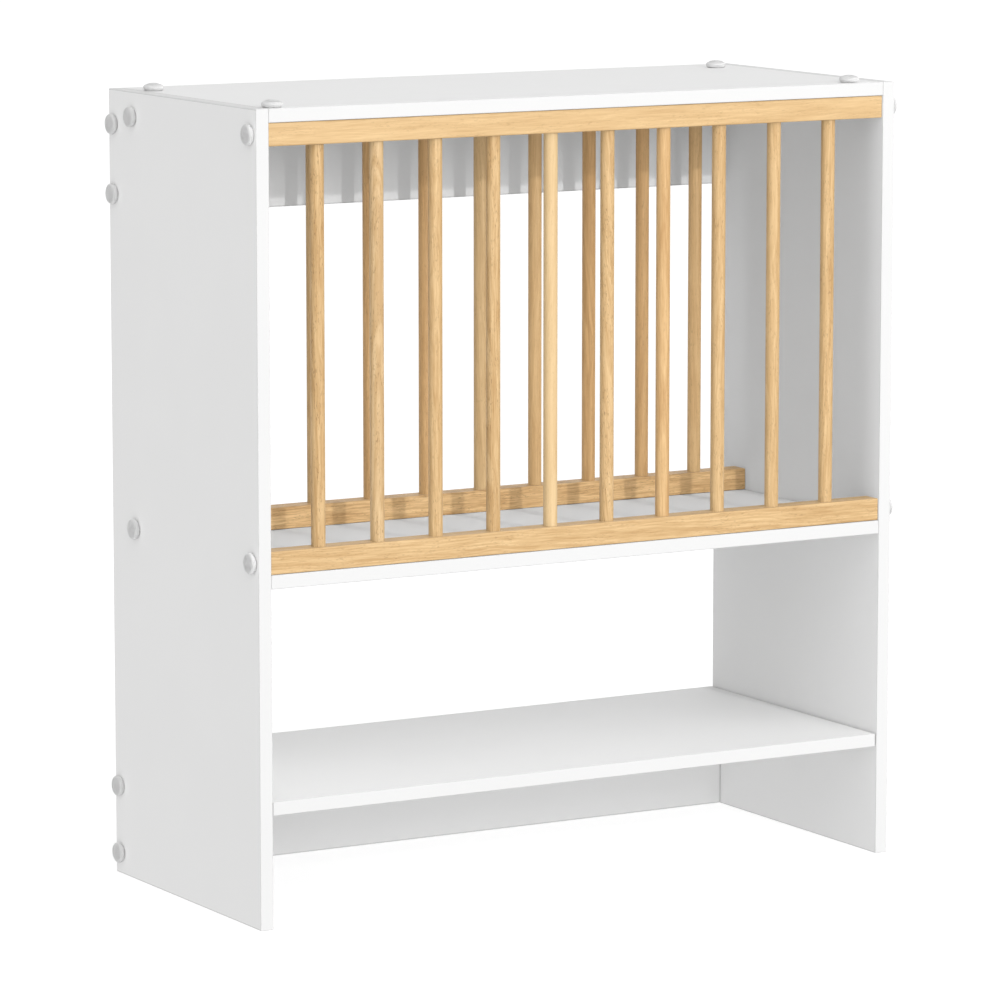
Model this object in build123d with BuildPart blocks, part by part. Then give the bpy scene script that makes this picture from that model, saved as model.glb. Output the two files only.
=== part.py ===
from build123d import *
from math import atan2, degrees
import os

os.makedirs("parts", exist_ok=True)

# Free-standing plate rack. Two side panels carry a top panel, a middle shelf and a lower shelf, all white
# boards. Above the middle shelf, two racks of round wooden dowels stand between square wooden rails, one at
# the front and one near the rear, and plates stand on edge in the slots between the dowels.
# Millimetres, +Z up. The origin is on the floor under the middle of the rack, and the front faces -Y.

# Case
width = 650.0
depth = 282.0
height = 710.0
board = 12.0
edge_ease = 0.5
end_gap = 0.2
overrun = 1.0

# Shelves
middle_shelf_top = 310.0
lower_shelf_bottom = 100.0
lower_shelf_recess = 1.2
lower_shelf_end_gap = 1.0
floor_gap = 0.5

# Boards across the back
rear_top_board_height = 100.0
rear_board_inset = 3.5

# Rails and dowels
dowel_count = 10
dowel_diameter = 12.5
dowel_chamfer = 1.0
dowel_seat = 11.0
dowel_seat_gap = 0.5
dowel_hole_gap = 0.05
rail_wall = 3.75
rail_round = 1.2
rail_end_ease = 0.6
rail_joint_gap = 0.3
front_rail_recess = 1.5
rear_rail_setback = 36.5

# Screws
screw_diameter = 3.5
screw_head_diameter = 7.0
screw_head_height = 2.3
screw_head_bevel = 0.8
screw_tip_length = 3.5
screw_slot_width = 1.0
screw_slot_length = 4.0
screw_slot_depth = 1.2
side_screw_bite = 27.0
screw_apart = 1.0
board_screw_edge = 19.0
right_face_screw_inset = 29.5
through_hole_gap = 0.25
pilot_hole_gap = 0.05
pilot_hole_spare = 0.4
sunk_head_depth = 0.2
sunk_head_gap = 0.1

# Snap-on caps and the collars that they snap onto
cap_diameter = 18.4
cap_height = 7.0
cap_edge_height = 3.0
cap_edge_round = 1.5
cap_shoulder = 2.4
cap_hollow_shoulder = 1.7
cap_foot_land = 0.2
cap_wall = 1.2
cap_lip_height = 0.6
cap_lip_depth = 0.6
cap_catch = 0.25
collar_height = 1.5
collar_floor = 0.8
collar_gap = 0.15
collar_cup_gap = 0.4

# Pins under the lower shelf
pin_diameter = 5.0
pin_depth = 8.0
pin_head_diameter = 7.0
pin_head_length = 8.0
pin_setback = 37.0
pin_hole_gap = 0.05
pin_hole_spare = 0.5

# Worked out from the sizes above
half_width = width / 2
half_depth = depth / 2
inner_half = half_width - board
rail = dowel_diameter + 2 * rail_wall
top_panel_bottom = height - board
top_rail_bottom = top_panel_bottom - rail_joint_gap - rail
bottom_rail_bottom = middle_shelf_top + rail_joint_gap
bottom_rail_top = bottom_rail_bottom + rail
middle_shelf_bottom = middle_shelf_top - board
front_rail_y = -half_depth + front_rail_recess + rail / 2
rear_rail_y = half_depth - rear_rail_setback - rail / 2
rail_ys = [front_rail_y, rear_rail_y]
top_rail_z = top_rail_bottom + rail / 2
bottom_rail_z = bottom_rail_bottom + rail / 2
rear_board_y = half_depth - rear_board_inset - board / 2
rear_top_board_bottom = top_panel_bottom - rear_top_board_height
dowel_slot = (2 * inner_half - dowel_count * dowel_diameter) / (dowel_count + 1)
dowel_pitch = dowel_slot + dowel_diameter
dowel_xs = [(i - (dowel_count - 1) / 2) * dowel_pitch for i in range(dowel_count)]
dowel_foot = bottom_rail_top - dowel_seat
dowel_length = top_rail_bottom + dowel_seat - dowel_foot
face_screw_bite = rail / 2 - screw_diameter / 2 - screw_apart
face_screw_xs = [-inner_half + cap_diameter / 2, inner_half - right_face_screw_inset]
face_screw_places = [(x, y) for x in face_screw_xs for y in rail_ys]
pin_z = lower_shelf_bottom - pin_head_diameter / 2
pin_places = [(-half_depth + pin_setback, pin_z), (half_depth - pin_setback, pin_z)]
cap_foot = cap_diameter / 2 - cap_edge_round
cap_hollow = cap_foot - cap_foot_land
cap_lip = cap_hollow - cap_lip_depth
rail_screw_places = [(y, z) for y in rail_ys for z in (top_rail_z, bottom_rail_z)]
board_screw_zs = [
    rear_top_board_bottom + board_screw_edge,
    top_panel_bottom - board_screw_edge,
    floor_gap + board_screw_edge,
    lower_shelf_bottom - board_screw_edge,
]
side_screw_places = rail_screw_places + [(rear_board_y, z) for z in board_screw_zs]


def save(piece, name):
    """Labels a finished piece and writes it under the same name."""
    piece.part.label = name
    export_step(piece.part, f"parts/{name}.step")


def turned(outline):
    """A solid turned about Z from a closed outline of (radius, height) points."""
    with BuildPart() as piece:
        with BuildSketch(Plane.XZ):
            with BuildLine():
                Polyline(*outline, close=True)
            make_face()
        revolve(axis=Axis.Z)
    return piece.part


def bores(plane, places, radius, reach):
    """Round cutters of one radius that run from the plane, one at each place."""
    with BuildPart() as cutters:
        with BuildSketch(plane):
            with Locations(*places):
                Circle(radius)
        extrude(amount=reach)
    return cutters.part


# White boards


def side_panel(name, side):
    """A full-height side; side is -1 on the left and 1 on the right."""
    outer = Plane.YZ.offset(side * (half_width + overrun))
    inner = Plane.YZ.offset(side * (inner_half - overrun))
    through = screw_diameter / 2 + through_hole_gap
    screw_holes = bores(outer, side_screw_places, through, -side * (board + 2 * overrun))
    pin_reach = pin_depth + pin_hole_spare + overrun
    pin_holes = bores(inner, pin_places, pin_diameter / 2 + pin_hole_gap, side * pin_reach)
    with BuildPart() as panel:
        with BuildSketch(Plane.YZ.offset(side * inner_half)):
            with Locations((0, height / 2)):
                Rectangle(depth, height)
        extrude(amount=side * board)
        chamfer(panel.edges(), length=edge_ease)
        add(screw_holes, mode=Mode.SUBTRACT)
        add(pin_holes, mode=Mode.SUBTRACT)
    save(panel, name)


def level_board(name, bottom, front_recess, gap, screw_places, sinks):
    """A board that lies flat between the side panels, drilled where screws hold it to the rails."""
    with BuildPart() as piece:
        with BuildSketch(Plane.XY.offset(bottom)):
            with Locations((0, front_recess / 2)):
                Rectangle(2 * (inner_half - gap), depth - front_recess)
        extrude(amount=board)
        chamfer(piece.edges(), length=edge_ease)
        if screw_places:
            with BuildSketch(Plane.XY.offset(bottom - overrun)):
                with Locations(*screw_places):
                    Circle(screw_diameter / 2 + through_hole_gap)
            extrude(amount=board + 2 * overrun, mode=Mode.SUBTRACT)
        if sinks:
            add(sinks, mode=Mode.SUBTRACT)
    save(piece, name)


def countersinks(face, places):
    """Cutters for the flat screw heads that are sunk in a board's underside."""
    wide = screw_head_diameter / 2 + sunk_head_gap
    narrow = screw_diameter / 2 + sunk_head_gap
    end = sunk_head_depth + screw_head_height
    cutter = turned([(0, -overrun), (wide, -overrun), (wide, sunk_head_depth), (narrow, end), (0, end)])
    return [Pos(x, y, face) * cutter for x, y in places]


def end_pilots(places):
    """Cutters for the blind holes that take the side screws, at both ends of a rail or board."""
    reach = side_screw_bite + pilot_hole_spare + overrun
    pilot = screw_diameter / 2 + pilot_hole_gap
    mouth = inner_half + overrun
    return [bores(Plane.YZ.offset(side * mouth), places, pilot, -side * reach) for side in (-1, 1)]


def rear_board(name, bottom, top):
    """An upright board across the back, screwed through the side panels at both ends."""
    pilots = end_pilots([(rear_board_y, bottom + board_screw_edge), (rear_board_y, top - board_screw_edge)])
    with BuildPart() as piece:
        with BuildSketch(Plane.XY.offset(bottom)):
            with Locations((0, rear_board_y)):
                Rectangle(2 * (inner_half - end_gap), board)
        extrude(amount=top - bottom)
        chamfer(piece.edges(), length=edge_ease)
        add(pilots, mode=Mode.SUBTRACT)
    save(piece, name)


side_panel("left_side_panel", -1)
side_panel("right_side_panel", 1)
sinks = countersinks(middle_shelf_bottom, face_screw_places)
level_board("top_panel", top_panel_bottom, 0, end_gap, face_screw_places, [])
level_board("middle_shelf", middle_shelf_bottom, 0, end_gap, face_screw_places, sinks)
level_board("lower_shelf", lower_shelf_bottom, lower_shelf_recess, lower_shelf_end_gap, [], [])
rear_board("rear_top_board", rear_top_board_bottom, top_panel_bottom)
rear_board("rear_bottom_board", floor_gap, lower_shelf_bottom)


# Wooden rails


def wooden_rail(name, y, bottom, dowels_up):
    """A square rail with a blind hole for each dowel, and pilot holes for the end and face screws."""
    dowel_face = bottom + rail if dowels_up else bottom
    board_face = bottom if dowels_up else bottom + rail
    inwards = 1 if dowels_up else -1
    mouth = Plane.XY.offset(dowel_face + inwards * overrun)
    reach = dowel_seat + dowel_seat_gap + overrun
    seats = bores(mouth, [(x, y) for x in dowel_xs], dowel_diameter / 2 + dowel_hole_gap, -inwards * reach)
    mouth = Plane.XY.offset(board_face - inwards * overrun)
    reach = face_screw_bite + pilot_hole_spare + overrun
    pilot = screw_diameter / 2 + pilot_hole_gap
    pilots = bores(mouth, [(x, y) for x in face_screw_xs], pilot, inwards * reach)
    ends = end_pilots([(y, bottom + rail / 2)])
    with BuildPart() as piece:
        with BuildSketch(Plane.YZ.offset(-inner_half + end_gap)):
            with Locations((y, bottom + rail / 2)):
                RectangleRounded(rail, rail, rail_round)
        extrude(amount=2 * (inner_half - end_gap))
        chamfer(piece.faces().filter_by(Axis.X).edges(), length=rail_end_ease)
        add([seats, pilots] + ends, mode=Mode.SUBTRACT)
    save(piece, name)


wooden_rail("front_top_rail", front_rail_y, top_rail_bottom, False)
wooden_rail("front_bottom_rail", front_rail_y, bottom_rail_bottom, True)
wooden_rail("rear_top_rail", rear_rail_y, top_rail_bottom, False)
wooden_rail("rear_bottom_rail", rear_rail_y, bottom_rail_bottom, True)


# Dowels


def dowel(name, x, y):
    """A round rod whose chamfered ends sit in the blind holes of the rails."""
    with BuildPart() as rod:
        with BuildSketch(Plane.XY.offset(dowel_foot)):
            with Locations((x, y)):
                Circle(dowel_diameter / 2)
        extrude(amount=dowel_length)
        chamfer(rod.edges().filter_by(GeomType.CIRCLE), length=dowel_chamfer)
    save(rod, name)


for number, x in enumerate(dowel_xs, start=1):
    dowel(f"front_dowel_{number:02d}", x, front_rail_y)
    dowel(f"rear_dowel_{number:02d}", x, rear_rail_y)


# Screws, collars and caps, each drawn once on the Z axis with the board's face at Z = 0


def crossed(blank, top):
    """A turned screw with a cross recess cut in its head."""
    with BuildPart() as piece:
        add(blank)
        with BuildSketch(Plane.XY.offset(top)):
            Rectangle(screw_slot_length, screw_slot_width)
            Rectangle(screw_slot_width, screw_slot_length)
        extrude(amount=-screw_slot_depth, mode=Mode.SUBTRACT)
    return piece.part


def screw(bite):
    """A pan-head wood screw whose head stands in its collar."""
    radius = screw_diameter / 2
    head = screw_head_diameter / 2
    top = collar_floor + screw_head_height
    tip = -(board + bite)
    shank = [(0, tip), (radius, tip + screw_tip_length), (radius, collar_floor), (head, collar_floor)]
    crown = [(head, top - screw_head_bevel), (head - screw_head_bevel, top), (0, top)]
    return crossed(turned(shank + crown), top)


def sunk_screw(bite):
    """A flat-head wood screw whose head lies just below the board's face."""
    radius = screw_diameter / 2
    head = screw_head_diameter / 2
    top = -sunk_head_depth
    tip = -(board + bite)
    shank = [(0, tip), (radius, tip + screw_tip_length), (radius, top - screw_head_height)]
    return crossed(turned(shank + [(head, top), (0, top)]), top)


def collar():
    """A washer with a cup for the screw's head and a rim that the cap snaps over."""
    bore = screw_diameter / 2 + through_hole_gap
    cup = screw_head_diameter / 2 + collar_cup_gap
    bead = cap_lip + cap_catch
    groove = cap_lip - collar_gap
    groove_top = cap_lip_height + collar_gap
    neck = [(bore, 0), (groove, 0), (groove, groove_top), (bead, groove_top), (bead, collar_height)]
    return turned(neck + [(cup, collar_height), (cup, collar_floor), (bore, collar_floor)])


def dome(outer, foot, rise, shoulder):
    """The two arcs that round a button off, from its widest line up to its middle."""
    crown = ((outer - shoulder) ** 2 + rise**2 - shoulder**2) / (2 * (rise - shoulder))
    turn = degrees(atan2(crown - rise, outer - shoulder))
    CenterArc((outer - shoulder, foot), shoulder, 0, turn)
    CenterArc((0, foot + rise - crown), crown, turn, 90 - turn)


def cap():
    """A hollow button, rounded above and below its widest line, with a lip that grips the collar's rim."""
    outer = cap_diameter / 2
    rise = cap_height - cap_edge_height
    with BuildPart() as piece:
        with BuildSketch(Plane.XZ):
            with BuildLine():
                Line((cap_lip, 0), (cap_foot, 0))
                TangentArc((outer, cap_edge_height), (cap_foot, 0), tangent=(0, -1))
                dome(outer, cap_edge_height, rise, cap_shoulder)
                Line((0, cap_height), (0, cap_height - cap_wall))
                dome(cap_hollow, cap_edge_height, rise - cap_wall, cap_hollow_shoulder)
                Line((cap_hollow, cap_edge_height), (cap_hollow, cap_lip_height))
                Polyline((cap_hollow, cap_lip_height), (cap_lip, cap_lip_height), (cap_lip, 0))
            make_face()
        revolve(axis=Axis.Z)
    return piece.part


def place_all(name, piece, places):
    """One node of like solids, a copy of the piece at each place."""
    with BuildPart() as group:
        with Locations(*places):
            add(piece)
    save(group, name)


left_places = [Plane((-half_width, y, z), z_dir=(-1, 0, 0)) for y, z in side_screw_places]
right_places = [Plane((half_width, y, z), z_dir=(1, 0, 0)) for y, z in side_screw_places]
top_places = [Plane((x, y, height), z_dir=(0, 0, 1)) for x, y in face_screw_places]
under_places = [Plane((x, y, middle_shelf_bottom), z_dir=(0, 0, -1)) for x, y in face_screw_places]
side_screw = screw(side_screw_bite)
one_collar = collar()
one_cap = cap()
place_all("left_side_screws", side_screw, left_places)
place_all("right_side_screws", side_screw, right_places)
place_all("top_screws", screw(face_screw_bite), top_places)
place_all("middle_shelf_screws", sunk_screw(face_screw_bite), under_places)
for name, places in (("left", left_places), ("right", right_places), ("top", top_places)):
    place_all(f"{name}_cap_collars", one_collar, places)
    place_all(f"{name}_screw_caps", one_cap, places)


# Pins under the lower shelf


def shelf_pin():
    """A stepped pin along Z, its thin end in the side panel and its thick end under the shelf."""
    with BuildPart() as piece:
        with BuildSketch(Plane.XY):
            Circle(pin_diameter / 2)
        extrude(amount=-pin_depth)
        with BuildSketch(Plane.XY):
            Circle(pin_head_diameter / 2)
        extrude(amount=pin_head_length)
    return piece.part


left_pins = [Plane((-inner_half, y, z), z_dir=(1, 0, 0)) for y, z in pin_places]
right_pins = [Plane((inner_half, y, z), z_dir=(-1, 0, 0)) for y, z in pin_places]
place_all("lower_shelf_pins", shelf_pin(), left_pins + right_pins)
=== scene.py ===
import math

import bpy
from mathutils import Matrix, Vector


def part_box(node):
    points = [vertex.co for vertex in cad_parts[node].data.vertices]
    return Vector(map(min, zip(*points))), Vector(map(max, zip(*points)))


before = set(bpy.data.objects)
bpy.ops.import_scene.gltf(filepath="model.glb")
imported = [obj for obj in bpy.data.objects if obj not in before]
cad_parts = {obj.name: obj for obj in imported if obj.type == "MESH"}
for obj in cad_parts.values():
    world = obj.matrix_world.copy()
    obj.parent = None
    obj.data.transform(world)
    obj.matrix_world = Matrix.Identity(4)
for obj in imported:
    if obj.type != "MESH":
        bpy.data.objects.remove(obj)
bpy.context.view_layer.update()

# Camera: the photograph's viewing place, in metres, and its angles in degrees
CAMERA_PLACE = (-2.4746, -4.2534, 1.0661)
CAMERA_TURN = 30.14
CAMERA_DIP = 8.46
CAMERA_LENS = 197.8
CAMERA_REACH = 200.0

# Lamps: a small bright one in front on the right, and an upright strip below it
KEY_PLACE = (0.480, -3.361, 1.55)
KEY_RADIUS = 0.025
KEY_POWER = 103.0
STRIP_PLACE = (0.480, -3.361, 1.25)
STRIP_WIDTH = 0.06
STRIP_HEIGHT = 0.50
STRIP_POWER = 10.0

# Room: soft light from these sides with these strengths, each a wide lobe round its direction
ROOM_LOBE_POWER = 4.0
ROOM_LOBES = [
    ((1, 1, 0), 2.2),
    ((0, -1, 1), 1.5),
    ((0, -1, 0), 1.0),
    ((-1, 0, 0), 0.9),
    ((-1, 0, -1), 0.85),
    ((-1, 0, 1), 0.6),
    ((1, -1, 0), 0.3),
    ((0, 1, 1), 0.2),
    ((0, -1, -1), 0.4),
]
FLOOR_SIZE = 60.0
FLOOR_TONE = (0.42, 0.42, 0.42, 1)
FLOOR_GLOW = 0.74

# White board: melamine faces, and a 1 mm edge band round the edges whose greyer tone is painted shade,
# which keeps the lit edges darker than the faces. Each relief below is a bump's strength and its depth in
# metres.
BOARD_TONE = (0.870, 0.870, 0.868, 1)
BAND_TONE_WITH_SHADE = (0.740, 0.740, 0.738, 1)
SEAM_TONE = (0.60, 0.60, 0.59, 1)
BAND_THICK = 0.001
SEAM_WIDTH = 0.00012
FAR_OFF = 1.0
BOARD_ROUGHNESS = 0.64
BAND_SMOOTHER = -0.08
BOARD_SHINE = 0.12
BOARD_RELIEF = (0.10, 0.00010)

# Caps and collars of slightly milky plastic, screws and pins of plated steel
CAP_TONE = (0.760, 0.760, 0.755, 1)
CAP_LIGHT_DEPTH = 0.008
CAP_SHINE = 0.08
CAP_ROUGHNESS = 0.38
CAP_CLOUDS = 0.02
CAP_RELIEF = (0.06, 0.00005)
ZINC_TONE = (0.62, 0.63, 0.62, 1)
ZINC_ROUGHNESS = 0.30
ZINC_CLOUDS = 0.10
ZINC_RELIEF = (0.15, 0.00005)

TO_MM = 1000.0

# Tones of rubberwood, the light and the dark part of each figure. The tan tone, used only on the rear
# dowels, is partly the wood's own tone and partly painted shade: darker and more orange, like shade lit by
# the wood around it at the back of the rack.
HONEY = ((0.770, 0.540, 0.280, 1), (0.490, 0.290, 0.115, 1))
PEACH = ((0.790, 0.575, 0.320, 1), (0.570, 0.370, 0.175, 1))
STRAW = ((0.790, 0.575, 0.315, 1), (0.600, 0.400, 0.185, 1))
GOLD = ((0.770, 0.515, 0.250, 1), (0.520, 0.295, 0.115, 1))
TAN_AND_SHADE = ((0.730, 0.455, 0.205, 1), (0.480, 0.265, 0.100, 1))
AMBER = ((0.890, 0.610, 0.305, 1), (0.510, 0.285, 0.110, 1))
PORE_TONE = (0.24, 0.13, 0.05, 1)
BOUNCE_FADE = 0.97

# Sizes of the wood's spots in mm, across, across and along the grain
SWAY_SIZE = (40.0, 40.0, 140.0)
SWAY_REACH = 26.0
RIPPLE_SIZE = (6.0, 6.0, 24.0)
RIPPLE_REACH = 1.8
BROAD_SIZE = (8.0, 8.0, 90.0)
STREAK_SIZE = (1.9, 1.9, 70.0)
FIBRE_SIZE = (0.9, 0.9, 22.0)
PORE_SIZE = (0.75, 0.75, 4.2)
CLUMP_SIZE = (6.0, 6.0, 30.0)

# How much each part of the figure darkens the wood where it is strongest
LAYER_SHARE = 0.55
BROAD_SHARE = 0.22
STREAK_SHARE = 0.34
PORE_SHARE = 0.6

# Varnished wood's surface
WOOD_ROUGHNESS = 0.42
WOOD_SHINE = 0.4
WOOD_RELIEF = (0.35, 0.00012)

# The pith stands off beside each stick, in metres, a little further and further round for each seed
PITH_NEAREST = 0.030
PITH_STEP = 0.007
PITH_STEPS = 5
PITH_TURN = 2.4
SIDE_LEAN = 0.6

# How far a seed moves each pattern, in mm along X, Y and Z
WOOD_STEPS = (37.7, 91.3, 153.1)
LAYER_STEP = 17.3
BOARD_STEPS = (61.0, 143.0, 29.0)

# One row for each stick: tone, figure, layer width in mm, streaks, pores, and the grain's lean in degrees.
# The dowels are counted from the left.
FRONT_DOWELS = [
    (HONEY, 0.5, 2.4, 1.0, 1.0, 1.0),
    (PEACH, 0.9, 2.8, 1.0, 0.9, -2.0),
    (HONEY, 0.4, 3.5, 0.9, 0.6, 1.0),
    (HONEY, 0.6, 3.0, 1.0, 0.8, 1.0),
    (STRAW, 0.3, 3.6, 0.4, 0.2, -1.0),
    (HONEY, 0.4, 2.0, 0.8, 1.0, 4.0),
    (GOLD, 0.6, 3.2, 0.8, 0.3, 1.5),
    (HONEY, 0.4, 2.6, 0.8, 0.7, -1.5),
    (HONEY, 0.4, 3.0, 0.7, 0.5, 1.0),
    (HONEY, 0.4, 2.6, 0.8, 0.7, -1.5),
]
# The rear dowels' tan rows are partly painted shade, darker and more orange than the wood itself.
REAR_DOWELS = [
    (HONEY, 0.5, 2.6, 0.8, 0.6, -1.5),
    (HONEY, 0.5, 3.0, 0.8, 0.5, 1.5),
    (HONEY, 0.5, 2.8, 0.8, 0.5, 1.0),
    (TAN_AND_SHADE, 0.5, 2.8, 0.8, 0.6, -1.0),
    (TAN_AND_SHADE, 0.3, 3.2, 0.7, 0.4, 1.0),
    (HONEY, 0.3, 3.2, 0.6, 0.4, 1.5),
    (GOLD, 0.3, 3.2, 0.6, 0.2, -1.0),
    (TAN_AND_SHADE, 0.6, 3.4, 0.7, 0.3, 1.5),
    (TAN_AND_SHADE, 0.3, 3.0, 0.6, 0.4, -1.5),
    (GOLD, 0.3, 2.8, 0.6, 0.4, 1.0),
]
RAILS = {
    "front_top_rail": (HONEY, 0.25, 4.0, 0.5, 0.35, 1.0),
    "front_bottom_rail": (HONEY, 0.45, 2.4, 0.8, 0.5, -1.0),
    "rear_top_rail": (HONEY, 0.4, 2.6, 0.7, 0.5, 1.0),
    "rear_bottom_rail": (AMBER, 0.15, 2.2, 1.2, 0.7, 0.6),
}

# Each board and the axis of its thickness. Its edge bands go round the other two axes.
BOARDS = {
    "left_side_panel": "x",
    "right_side_panel": "x",
    "top_panel": "z",
    "middle_shelf": "z",
    "lower_shelf": "z",
    "rear_top_board": "y",
    "rear_bottom_board": "y",
}


def feed(tree, socket, value):
    """Link a socket's output, or set a plain value."""
    if isinstance(value, bpy.types.NodeSocket):
        tree.links.new(value, socket)
    else:
        socket.default_value = value


def place(tree, kind, sockets=None, **settings):
    """Add a node, then set its choices and its sockets."""
    made = tree.nodes.new(kind)
    for name, value in settings.items():
        setattr(made, name, value)
    for name, value in (sockets or {}).items():
        feed(tree, made.inputs[name], value)
    return made


def sum_of(tree, how, first, second=0.0, third=0.0):
    """The result of one sum on plain numbers."""
    made = place(tree, "ShaderNodeMath", {0: first, 1: second, 2: third}, operation=how)
    return made.outputs[0]


def vector_of(tree, how, first, second=(0.0, 0.0, 0.0)):
    """The result of one sum on vectors."""
    made = place(tree, "ShaderNodeVectorMath", {0: first, 1: second}, operation=how)
    return made.outputs["Value" if how == "LENGTH" else "Vector"]


def scaled(tree, vector, level):
    """The vector or colour times a level."""
    made = place(tree, "ShaderNodeVectorMath", {0: vector}, operation="SCALE")
    feed(tree, made.inputs["Scale"], level)
    return made.outputs[0]


def noise(tree, vector, stretch, detail=2.0, rough=0.5):
    """Cloudy pattern whose spots are about as large as the stretch, in millimetres."""
    per_mm = tuple(1.0 / size for size in stretch)
    spots = vector_of(tree, "MULTIPLY", vector, per_mm)
    return place(tree, "ShaderNodeTexNoise",
                 {"Vector": spots, "Scale": 1.0, "Detail": detail, "Roughness": rough})


def ramp(tree, value, low, high):
    """A smooth rise from 0 to 1 while the value goes from low to high."""
    made = place(tree, "ShaderNodeMapRange", {"Value": value, "From Min": low, "From Max": high},
                 interpolation_type="SMOOTHSTEP")
    return made.outputs["Result"]


def blend(tree, share, first, second):
    """A mix of two colours, the second one where the share is 1."""
    made = place(tree, "ShaderNodeMix", data_type="RGBA", clamp_factor=True)
    feed(tree, made.inputs[0], share)
    feed(tree, made.inputs[6], first)
    feed(tree, made.inputs[7], second)
    return made.outputs[2]


def group(name, takes, gives):
    """A node group with named sockets. Returns the tree, its input node and its output node."""
    tree = bpy.data.node_groups.new(name, "ShaderNodeTree")
    kinds = {"v": "NodeSocketVector", "c": "NodeSocketColor", "f": "NodeSocketFloat"}
    for title, kind in takes:
        tree.interface.new_socket(name=title, in_out="INPUT", socket_type=kinds[kind])
    for title, kind in gives:
        tree.interface.new_socket(name=title, in_out="OUTPUT", socket_type=kinds[kind])
    return tree, tree.nodes.new("NodeGroupInput").outputs, tree.nodes.new("NodeGroupOutput").inputs


def shifted(tree, vector, seed, steps):
    """The vector in millimetres, and moved aside so that each seed meets another part of the pattern."""
    in_mm = vector_of(tree, "MULTIPLY", vector, (TO_MM, TO_MM, TO_MM))
    aside = place(tree, "ShaderNodeCombineXYZ")
    for axis, step in zip("XYZ", steps):
        feed(tree, aside.inputs[axis], sum_of(tree, "MULTIPLY", seed, step))
    return in_mm, vector_of(tree, "ADD", in_mm, aside.outputs[0])


def drift(tree, spot, stretch, reach):
    """A slow sideways wander of the grain, up to about half the reach."""
    cloud = vector_of(tree, "SUBTRACT", noise(tree, spot, stretch).outputs[1], (0.5, 0.5, 0.5))
    return vector_of(tree, "MULTIPLY", cloud, (reach, reach, 0.0))


def growth_layers(tree, bent, width, seed):
    """Growth layers round the pith, which a stick cuts into lines, arches or flames."""
    flat = vector_of(tree, "MULTIPLY", bent, (1.0, 1.0, 0.0))
    depth = sum_of(tree, "DIVIDE", vector_of(tree, "LENGTH", flat), width)
    layers = place(tree, "ShaderNodeTexNoise", {"Scale": 1.0, "Detail": 2.0}, noise_dimensions="1D")
    feed(tree, layers.inputs["W"], sum_of(tree, "MULTIPLY_ADD", seed, LAYER_STEP, depth))
    return ramp(tree, layers.outputs[0], 0.34, 0.66)


def wood_grain_group():
    """Rubberwood with its grain along Z: wavy growth layers, streaks, fine fibres and short dark pores."""
    tree, take, give = group(
        "wood_grain",
        [("Vector", "v"), ("Seed", "f"), ("Light", "c"), ("Dark", "c"), ("Pore Tone", "c"),
         ("Figure", "f"), ("Layer Width", "f"), ("Streaks", "f"), ("Pores", "f")],
        [("Color", "c"), ("Roughness", "f"), ("Height", "f")])
    in_mm, spot = shifted(tree, take["Vector"], take["Seed"], WOOD_STEPS)
    sway = drift(tree, spot, SWAY_SIZE, SWAY_REACH)
    ripple = drift(tree, spot, RIPPLE_SIZE, RIPPLE_REACH)
    bent = vector_of(tree, "ADD", vector_of(tree, "ADD", in_mm, sway), ripple)
    layers = growth_layers(tree, bent, take["Layer Width"], take["Seed"])

    waver = vector_of(tree, "ADD", spot, ripple)
    broad = ramp(tree, noise(tree, waver, BROAD_SIZE).outputs[0], 0.3, 0.7)
    streak = ramp(tree, noise(tree, waver, STREAK_SIZE).outputs[0], 0.34, 0.66)
    fibre = ramp(tree, noise(tree, waver, FIBRE_SIZE, 3.0, 0.6).outputs[0], 0.36, 0.64)
    pores = ramp(tree, noise(tree, spot, PORE_SIZE, 1.0).outputs[0], 0.58, 0.68)
    clumps = ramp(tree, noise(tree, spot, CLUMP_SIZE).outputs[0], 0.38, 0.60)
    pores = sum_of(tree, "MULTIPLY", pores, sum_of(tree, "MULTIPLY", clumps, take["Pores"]))

    share = sum_of(tree, "MULTIPLY", layers, sum_of(tree, "MULTIPLY", take["Figure"], LAYER_SHARE))
    share = sum_of(tree, "MULTIPLY_ADD", broad, BROAD_SHARE, share)
    for lines in (streak, fibre):
        strength = sum_of(tree, "MULTIPLY", take["Streaks"], STREAK_SHARE)
        share = sum_of(tree, "MULTIPLY_ADD", lines, strength, share)
    tone = blend(tree, share, take["Light"], take["Dark"])
    tone = blend(tree, sum_of(tree, "MULTIPLY", pores, PORE_SHARE), tone, take["Pore Tone"])
    feed(tree, give["Color"], tone)

    rough = sum_of(tree, "MULTIPLY_ADD", fibre, 0.07, WOOD_ROUGHNESS)
    rough = sum_of(tree, "MULTIPLY_ADD", layers, 0.05, rough)
    feed(tree, give["Roughness"], sum_of(tree, "MULTIPLY_ADD", pores, 0.2, rough))
    height = sum_of(tree, "MULTIPLY_ADD", fibre, 0.35, sum_of(tree, "MULTIPLY", layers, 0.25))
    feed(tree, give["Height"], sum_of(tree, "MULTIPLY_ADD", pores, -0.9, height))
    return tree


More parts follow.
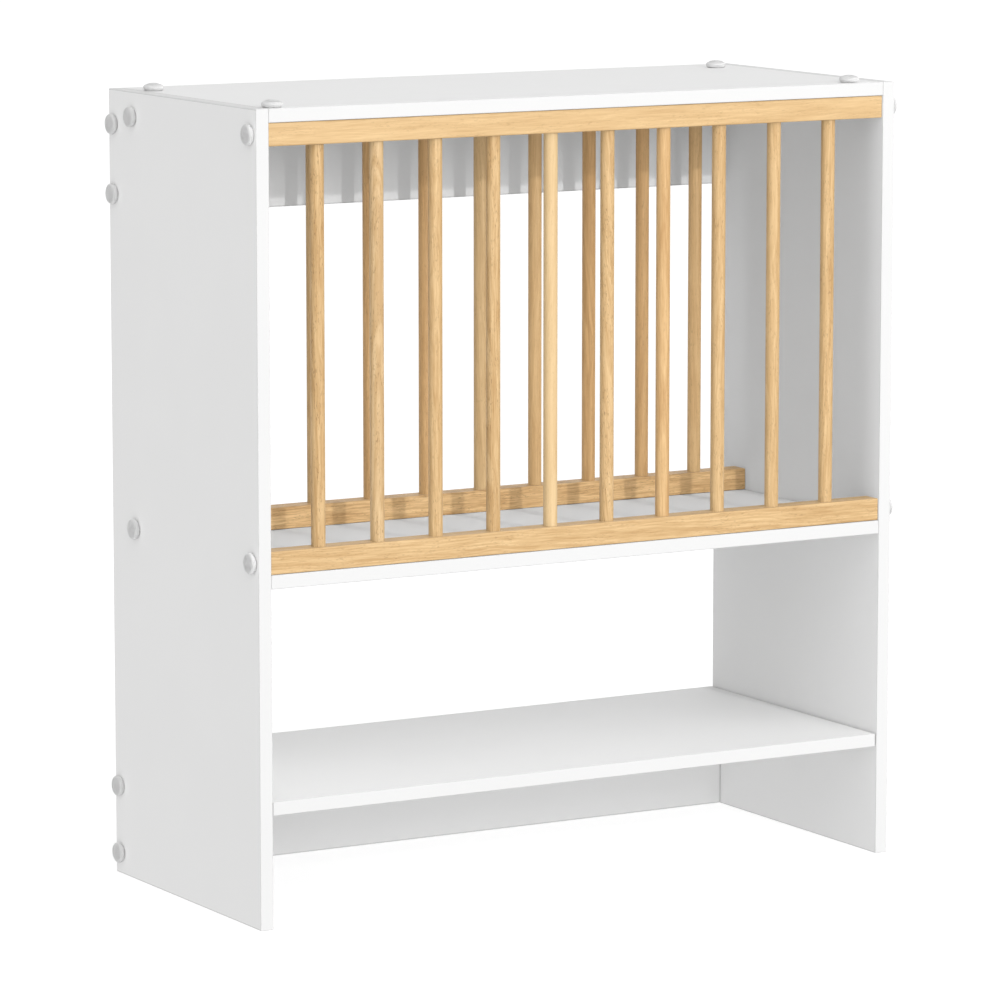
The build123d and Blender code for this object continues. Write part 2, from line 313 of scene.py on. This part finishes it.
def melamine_group():
    """Melamine-faced board: a clean white with faint clouds, and a fine orange-peel surface."""
    tree, take, give = group(
        "melamine", [("Vector", "v"), ("Tone", "c"), ("Seed", "f")],
        [("Color", "c"), ("Roughness", "f"), ("Height", "f")])
    spot = shifted(tree, take["Vector"], take["Seed"], BOARD_STEPS)[1]
    clouds = ramp(tree, noise(tree, spot, (90.0, 90.0, 90.0)).outputs[0], 0.3, 0.7)
    grains = ramp(tree, noise(tree, spot, (1.6, 1.6, 1.6)).outputs[0], 0.3, 0.7)
    peel = noise(tree, spot, (0.55, 0.55, 0.55), 3.0).outputs[0]
    level = sum_of(tree, "MULTIPLY_ADD", clouds, 0.010, 0.992)
    level = sum_of(tree, "MULTIPLY_ADD", grains, 0.006, level)
    feed(tree, give["Color"], scaled(tree, take["Tone"], level))
    rough = sum_of(tree, "MULTIPLY_ADD", clouds, 0.06, BOARD_ROUGHNESS)
    feed(tree, give["Roughness"], sum_of(tree, "MULTIPLY_ADD", grains, 0.05, rough))
    feed(tree, give["Height"], peel)
    return tree


def edge_band_group():
    """Where a board's edge band is, and the fine seam where it meets the faces."""
    tree, take, give = group(
        "edge_band",
        [("Vector", "v"), ("Centre", "v"), ("Half Size", "v"), ("Thickness", "f"), ("Seam Width", "f")],
        [("Band", "f"), ("Seam", "f")])
    away = vector_of(tree, "ABSOLUTE", vector_of(tree, "SUBTRACT", take["Vector"], take["Centre"]))
    inside = vector_of(tree, "SUBTRACT", take["Half Size"], away)
    parts = place(tree, "ShaderNodeSeparateXYZ", {0: inside}).outputs
    nearest = sum_of(tree, "MINIMUM", sum_of(tree, "MINIMUM", parts[0], parts[1]), parts[2])
    feed(tree, give["Band"], sum_of(tree, "LESS_THAN", nearest, take["Thickness"]))
    apart = sum_of(tree, "ABSOLUTE", sum_of(tree, "SUBTRACT", nearest, take["Thickness"]))
    feed(tree, give["Seam"], sum_of(tree, "LESS_THAN", apart, take["Seam Width"]))
    return tree


def moulded_group():
    """Moulded plastic or plated metal: faint clouds in its tone, and a fine skin. Base is its roughness."""
    tree, take, give = group(
        "moulded", [("Vector", "v"), ("Tone", "c"), ("Clouds", "f"), ("Base", "f")],
        [("Color", "c"), ("Roughness", "f"), ("Height", "f")])
    in_mm = vector_of(tree, "MULTIPLY", take["Vector"], (TO_MM, TO_MM, TO_MM))
    clouds = ramp(tree, noise(tree, in_mm, (5.0, 5.0, 5.0)).outputs[0], 0.3, 0.7)
    grains = noise(tree, in_mm, (0.5, 0.5, 0.5), 3.0).outputs[0]
    level = sum_of(tree, "MULTIPLY_ADD", clouds, take["Clouds"], 1.0)
    feed(tree, give["Color"], scaled(tree, take["Tone"], level))
    feed(tree, give["Roughness"], sum_of(tree, "MULTIPLY_ADD", grains, 0.12, take["Base"]))
    feed(tree, give["Height"], grains)
    return tree


WOOD_GRAIN = wood_grain_group()
MELAMINE = melamine_group()
EDGE_BAND = edge_band_group()
MOULDED = moulded_group()


def material(name):
    """An empty material with one Principled shader. Returns it, its tree and the shader."""
    made = bpy.data.materials.new(name)
    made.use_nodes = True
    tree = made.node_tree
    tree.nodes.clear()
    shader = tree.nodes.new("ShaderNodeBsdfPrincipled")
    out = tree.nodes.new("ShaderNodeOutputMaterial")
    tree.links.new(shader.outputs[0], out.inputs["Surface"])
    return made, tree, shader


def own_place(tree):
    return tree.nodes.new("ShaderNodeTexCoord").outputs["Object"]


def relief(tree, shader, height, amount):
    """A fine bump. The amount is its strength and its depth in metres."""
    strength, distance = amount
    made = place(tree, "ShaderNodeBump", {"Height": height, "Strength": strength, "Distance": distance})
    tree.links.new(made.outputs[0], shader.inputs["Normal"])


def use(tree, shared, sockets):
    made = place(tree, "ShaderNodeGroup", node_tree=shared)
    for name, value in sockets.items():
        feed(tree, made.inputs[name], value)
    return made.outputs


def paler_bounce(tree, tone):
    """The tone as it is where it is seen, but nearly grey where it only lights other pieces."""
    bounced = tree.nodes.new("ShaderNodeLightPath").outputs["Is Diffuse Ray"]
    fade = sum_of(tree, "MULTIPLY_ADD", bounced, -BOUNCE_FADE, 1.0)
    return place(tree, "ShaderNodeHueSaturation", {"Saturation": fade, "Color": tone}).outputs[0]


def wood_material(name, centre, turn, row, seed):
    """One stick's own wood. The turn lays the grain along the stick, and the pith stands off beside it."""
    tones, figure, layer, streaks, pores, lean = row
    made, tree, shader = material(name)
    pith = PITH_NEAREST + PITH_STEP * (seed % PITH_STEPS)
    aside = PITH_TURN * seed
    onto = place(tree, "ShaderNodeMapping", {"Vector": own_place(tree)}, vector_type="TEXTURE")
    onto.inputs["Location"].default_value = centre
    onto.inputs["Rotation"].default_value = turn
    stood = place(tree, "ShaderNodeMapping", {"Vector": onto.outputs[0]}, vector_type="POINT")
    stood.inputs["Location"].default_value = (pith * math.cos(aside), pith * math.sin(aside), 0.0)
    stood.inputs["Rotation"].default_value = (math.radians(lean), math.radians(SIDE_LEAN * lean), 0.0)
    grain = use(tree, WOOD_GRAIN, {
        "Vector": stood.outputs[0], "Seed": float(seed), "Light": tones[0], "Dark": tones[1],
        "Pore Tone": PORE_TONE, "Figure": figure, "Layer Width": layer, "Streaks": streaks, "Pores": pores})
    tree.links.new(paler_bounce(tree, grain["Color"]), shader.inputs["Base Color"])
    tree.links.new(grain["Roughness"], shader.inputs["Roughness"])
    relief(tree, shader, grain["Height"], WOOD_RELIEF)
    shader.inputs["Specular IOR Level"].default_value = WOOD_SHINE
    return made


def board_material(name, low, high, across, seed):
    """One board's white, with the seam of its edge band drawn from the board's own size."""
    made, tree, shader = material(name)
    here = own_place(tree)
    face = use(tree, MELAMINE, {"Vector": here, "Tone": BOARD_TONE, "Seed": float(seed)})
    half = (high - low) / 2
    half["xyz".index(across)] += FAR_OFF
    edge = use(tree, EDGE_BAND, {
        "Vector": here, "Centre": tuple((low + high) / 2), "Half Size": tuple(half),
        "Thickness": BAND_THICK, "Seam Width": SEAM_WIDTH})
    # The edge band's greyer tone is painted shade on the edges and on the 1 mm rims beside them.
    band = use(tree, MELAMINE, {"Vector": here, "Tone": BAND_TONE_WITH_SHADE, "Seed": float(seed) + 0.5})
    tone = blend(tree, edge["Band"], face["Color"], band["Color"])
    tone = blend(tree, edge["Seam"], tone, SEAM_TONE)
    tree.links.new(tone, shader.inputs["Base Color"])
    rough = sum_of(tree, "MULTIPLY_ADD", edge["Band"], BAND_SMOOTHER, face["Roughness"])
    tree.links.new(rough, shader.inputs["Roughness"])
    height = sum_of(tree, "MULTIPLY_ADD", edge["Seam"], -1.0, face["Height"])
    relief(tree, shader, height, BOARD_RELIEF)
    shader.inputs["Specular IOR Level"].default_value = BOARD_SHINE
    return made


def moulded_material(name, tone, clouds, roughness, metal, skin_relief):
    made, tree, shader = material(name)
    skin = use(tree, MOULDED, {
        "Vector": own_place(tree), "Tone": tone, "Clouds": clouds, "Base": roughness})
    tree.links.new(skin["Color"], shader.inputs["Base Color"])
    tree.links.new(skin["Roughness"], shader.inputs["Roughness"])
    shader.inputs["Metallic"].default_value = metal
    relief(tree, shader, skin["Height"], skin_relief)
    return made


def make_milky(finish):
    """Let light spread a few millimetres inside the plastic, and soften its shine."""
    shader = next(node for node in finish.node_tree.nodes if node.type == "BSDF_PRINCIPLED")
    shader.inputs["Specular IOR Level"].default_value = CAP_SHINE
    shader.inputs["Subsurface Weight"].default_value = 1.0
    shader.inputs["Subsurface Radius"].default_value = (1.0, 1.0, 1.0)
    shader.inputs["Subsurface Scale"].default_value = CAP_LIGHT_DEPTH


def dress(name, finish):
    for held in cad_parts[name].material_slots:
        held.material = finish


def dress_boards():
    for seed, (name, across) in enumerate(BOARDS.items()):
        low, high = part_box(name)
        dress(name, board_material(name + "_white", low, high, across, seed))


def dress_wood():
    """Each rail and dowel is its own piece of wood. A rail's grain is turned to lie along X."""
    upright, along_x = (0.0, 0.0, 0.0), (0.0, math.radians(90), 0.0)
    seed = 0
    for side, rows in (("front", FRONT_DOWELS), ("rear", REAR_DOWELS)):
        for number, row in enumerate(rows, 1):
            seed += 1
            name = f"{side}_dowel_{number:02d}"
            low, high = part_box(name)
            dress(name, wood_material(name + "_wood", (low + high) / 2, upright, row, seed))
    for name, row in RAILS.items():
        seed += 1
        low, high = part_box(name)
        dress(name, wood_material(name + "_wood", (low + high) / 2, along_x, row, seed))


def dress_fittings():
    cap = moulded_material("cap_plastic_grey_white", CAP_TONE, CAP_CLOUDS, CAP_ROUGHNESS, 0.0, CAP_RELIEF)
    make_milky(cap)
    zinc = moulded_material("zinc_plate", ZINC_TONE, ZINC_CLOUDS, ZINC_ROUGHNESS, 1.0, ZINC_RELIEF)
    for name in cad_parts:
        if name.endswith(("_caps", "_collars")):
            dress(name, cap)
        elif name.endswith(("_screws", "_pins")):
            dress(name, zinc)


def add_floor():
    """A pale floor that only a camera above it meets. The room lights the rack from below as well."""
    bpy.ops.object.select_all(action="DESELECT")
    bpy.ops.mesh.primitive_plane_add(size=FLOOR_SIZE, location=(0, 0, 0))
    floor = bpy.context.object
    floor.name = "studio_floor"
    made, tree, shader = material("studio_floor_white")
    shader.inputs["Base Color"].default_value = FLOOR_TONE
    shader.inputs["Roughness"].default_value = 1.0
    shader.inputs["Specular IOR Level"].default_value = 0.0
    shader.inputs["Emission Color"].default_value = (1, 1, 1, 1)
    shader.inputs["Emission Strength"].default_value = FLOOR_GLOW
    seen = tree.nodes.new("ShaderNodeLightPath").outputs["Is Camera Ray"]
    below = tree.nodes.new("ShaderNodeNewGeometry").outputs["Backfacing"]
    seen = sum_of(tree, "MULTIPLY", seen, sum_of(tree, "SUBTRACT", 1.0, below))
    clear = tree.nodes.new("ShaderNodeBsdfTransparent")
    either = place(tree, "ShaderNodeMixShader", {0: seen, 1: clear.outputs[0], 2: shader.outputs[0]})
    out = next(node for node in tree.nodes if node.type == "OUTPUT_MATERIAL")
    tree.links.new(either.outputs[0], out.inputs["Surface"])
    floor.data.materials.append(made)


def room_level(tree):
    """How bright the soft room is in each direction: the sum of its lobes."""
    toward = tree.nodes.new("ShaderNodeTexCoord").outputs["Generated"]
    level = 0.0
    for side, strength in ROOM_LOBES:
        facing = place(tree, "ShaderNodeVectorMath", {0: toward, 1: Vector(side).normalized()},
                       operation="DOT_PRODUCT").outputs["Value"]
        lobe = sum_of(tree, "POWER", sum_of(tree, "MAXIMUM", facing, 0.0), ROOM_LOBE_POWER)
        level = sum_of(tree, "MULTIPLY_ADD", lobe, strength, level)
    return level


def add_room():
    """A soft room for matt light, and pure white where the room itself is seen or mirrored."""
    world = bpy.data.worlds.new("white_room")
    world.use_nodes = True
    tree = world.node_tree
    tree.nodes.clear()
    rays = tree.nodes.new("ShaderNodeLightPath").outputs
    seen = sum_of(tree, "MAXIMUM", rays["Is Camera Ray"], rays["Is Glossy Ray"])
    seen = sum_of(tree, "MAXIMUM", seen, rays["Is Transmission Ray"])
    soft = sum_of(tree, "MULTIPLY", room_level(tree), sum_of(tree, "SUBTRACT", 1.0, seen))
    level = sum_of(tree, "ADD", soft, seen)
    glow = place(tree, "ShaderNodeBackground", {"Color": (1, 1, 1, 1), "Strength": level})
    out = tree.nodes.new("ShaderNodeOutputWorld")
    tree.links.new(glow.outputs[0], out.inputs["Surface"])
    bpy.context.scene.world = world


def add_lamp(name, kind, spot, power):
    lamp = bpy.data.lights.new(name, kind)
    lamp.energy = power
    stand = bpy.data.objects.new(name, lamp)
    stand.location = spot
    bpy.context.scene.collection.objects.link(stand)
    return lamp, stand


def add_lamps():
    key = add_lamp("key_lamp", "POINT", KEY_PLACE, KEY_POWER)[0]
    key.shadow_soft_size = KEY_RADIUS
    strip, stand = add_lamp("strip_lamp", "AREA", STRIP_PLACE, STRIP_POWER)
    strip.shape = "RECTANGLE"
    strip.size = STRIP_WIDTH
    strip.size_y = STRIP_HEIGHT
    stand.rotation_euler = (math.radians(90), 0.0, 0.0)


def add_camera():
    camera = bpy.data.cameras.new("photo_camera")
    camera.lens = CAMERA_LENS
    camera.clip_end = CAMERA_REACH
    stand = bpy.data.objects.new("photo_camera", camera)
    stand.location = CAMERA_PLACE
    stand.rotation_euler = (math.radians(90 - CAMERA_DIP), 0.0, -math.radians(CAMERA_TURN))
    bpy.context.scene.collection.objects.link(stand)
    bpy.context.scene.camera = stand


dress_boards()
dress_wood()
dress_fittings()
add_floor()
add_room()
add_lamps()
add_camera()
bpy.context.scene.view_settings.view_transform = "Standard"
